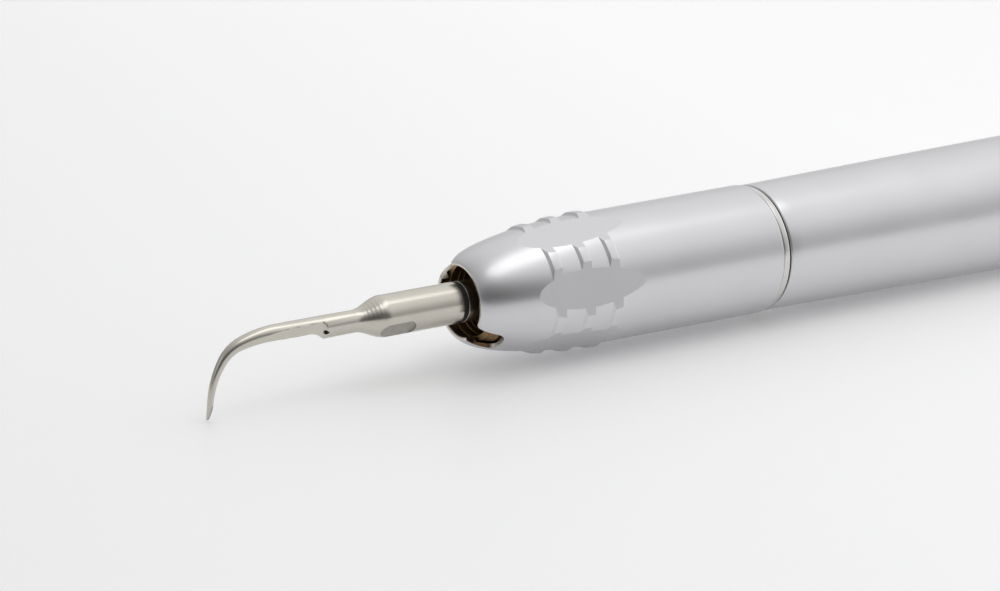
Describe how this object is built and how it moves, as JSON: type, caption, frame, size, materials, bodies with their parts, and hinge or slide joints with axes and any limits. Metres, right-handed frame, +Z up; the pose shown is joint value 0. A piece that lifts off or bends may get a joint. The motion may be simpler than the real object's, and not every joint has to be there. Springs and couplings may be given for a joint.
{
  "type": "dental air scaler handpiece",
  "caption": "Slim metal dental scaler handpiece with an open nose, a hooked screw-in tip on a vibrating shaft, a power ring and a threaded hose end.",
  "frame": {"origin": "middle of the box on the table the handpiece lies on, below its axis", "axes": "+X from the tip to the hose end along the handpiece's axis, +Z up, blade hooked downwards"},
  "size_m": [0.162, 0.0158, 0.0159],
  "materials": {
    "satin_metal": "fine-blasted satin silver",
    "polished_metal": "turned and polished, slightly warm",
    "tip_steel": "turned and tumbled stainless steel, warm nickel tone",
    "ground_steel": "ground steel",
    "brass": "dull turned brass",
    "plain_aluminium": "turned aluminium",
    "seal_rubber": "smooth nitrile"
  },
  "bodies": {
    "housing": {"front_sleeve": "satin_metal", "nose_bush": "brass", "damper_nut": "ground_steel", "inner_barrel": "plain_aluminium", "barrel_seal": "seal_rubber", "joint_ring": "polished_metal", "rear_bush": "brass", "rear_damper_nut": "ground_steel", "rear_damper_ring": "seal_rubber", "rear_housing": "satin_metal", "tube_plate": "plain_aluminium", "air_tube": "ground_steel", "water_tube": "ground_steel", "valve_core": "brass", "valve_seal": "seal_rubber", "detent_spring": "ground_steel", "tail_sleeve": "satin_metal", "connector_gasket": "seal_rubber", "hose_connector": "ground_steel"},
    "front_damper": {"front_damper_ring": "seal_rubber"},
    "vibrator": {"vibrator_shaft": "ground_steel", "front_stop_ring": "ground_steel", "rear_stop_ring": "ground_steel", "water_tube_seal": "seal_rubber"},
    "rotor": {"rotor_ring": "ground_steel"},
    "tip_seal": {"tip_seal_ring": "seal_rubber"},
    "tip": {"scaler_tip": "tip_steel"},
    "power_control": {"power_ring": "satin_metal", "coupling_pin": "ground_steel", "valve_sleeve": "ground_steel", "power_ring_seal": "seal_rubber"},
    "detent": {"detent_ball": "ground_steel"}
  },
  "joints": [
    {"name": "sway_pitch", "type": "hinge", "parent": "housing", "child": "front_damper", "pos_m": [-0.02125, 0, 0.00793], "axis": [0, 1, 0], "range_deg": [-0.2, 0.2], "stiffness_Nm_per_rad": 1.4},
    {"name": "sway_yaw", "type": "hinge", "parent": "front_damper", "child": "vibrator", "pos_m": [-0.02125, 0, 0.00793], "axis": [0, 0, 1], "range_deg": [-0.2, 0.2], "stiffness_Nm_per_rad": 1.4},
    {"name": "rotor_spin", "type": "hinge", "parent": "vibrator", "child": "rotor", "pos_m": [-0.019, 0, 0.00793], "axis": [1, 0, 0], "continuous": true},
    {"name": "tip_advance", "type": "slide", "parent": "vibrator", "child": "tip_seal", "axis": [-1, 0, 0], "range_m": [0, 0.0045]},
    {"name": "tip_turn", "type": "hinge", "parent": "tip_seal", "child": "tip", "pos_m": [-0.05, 0, 0.00793], "axis": [-1, 0, 0], "range_deg": [0, 3241]},
    {"name": "power_ring_turn", "type": "hinge", "parent": "housing", "child": "power_control", "pos_m": [0.062, 0, 0.00793], "axis": [1, 0, 0], "range_deg": [0, 60]},
    {"name": "detent_press", "type": "slide", "parent": "housing", "child": "detent", "axis": [1, 0, 0], "range_m": [-0.00025, 0], "stiffness_N_per_m": 400}
  ],
  "couplings": [
    {"joint": "tip_turn", "follows": "tip_advance", "rad_per_m": 12566}
  ]
}
